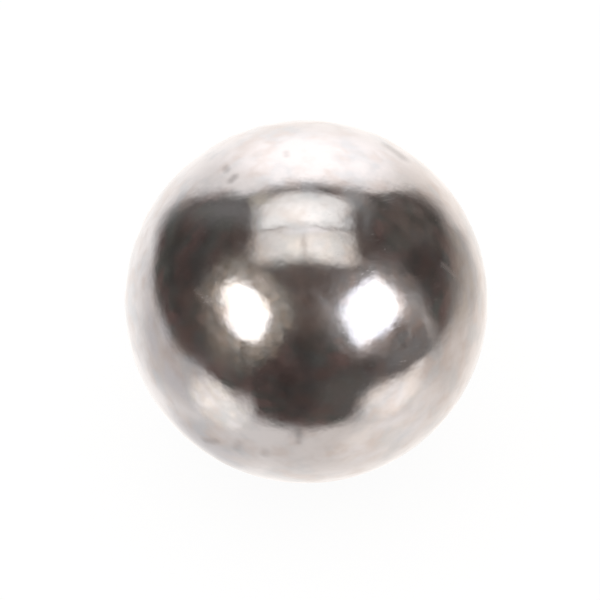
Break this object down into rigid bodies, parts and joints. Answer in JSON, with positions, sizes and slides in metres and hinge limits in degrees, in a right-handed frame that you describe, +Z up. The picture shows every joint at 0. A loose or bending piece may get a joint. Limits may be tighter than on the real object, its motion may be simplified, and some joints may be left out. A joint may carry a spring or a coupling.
{
  "type": "steel ball",
  "caption": "Loose round ball of bare polished steel, solid and seamless, that rolls in a race or seats in a cup, valve or detent.",
  "frame": {"origin": "centre of the ball", "axes": "+Z up, away from the seat that the ball sits in; any axis through the centre is an axis of symmetry"},
  "size_m": [0.008, 0.008, 0.008],
  "materials": {
    "polished_steel": "lapped to a near mirror, with a light handling haze and a few dark specks"
  },
  "bodies": {
    "root": {"ball": "polished_steel"}
  },
  "joints": []
}
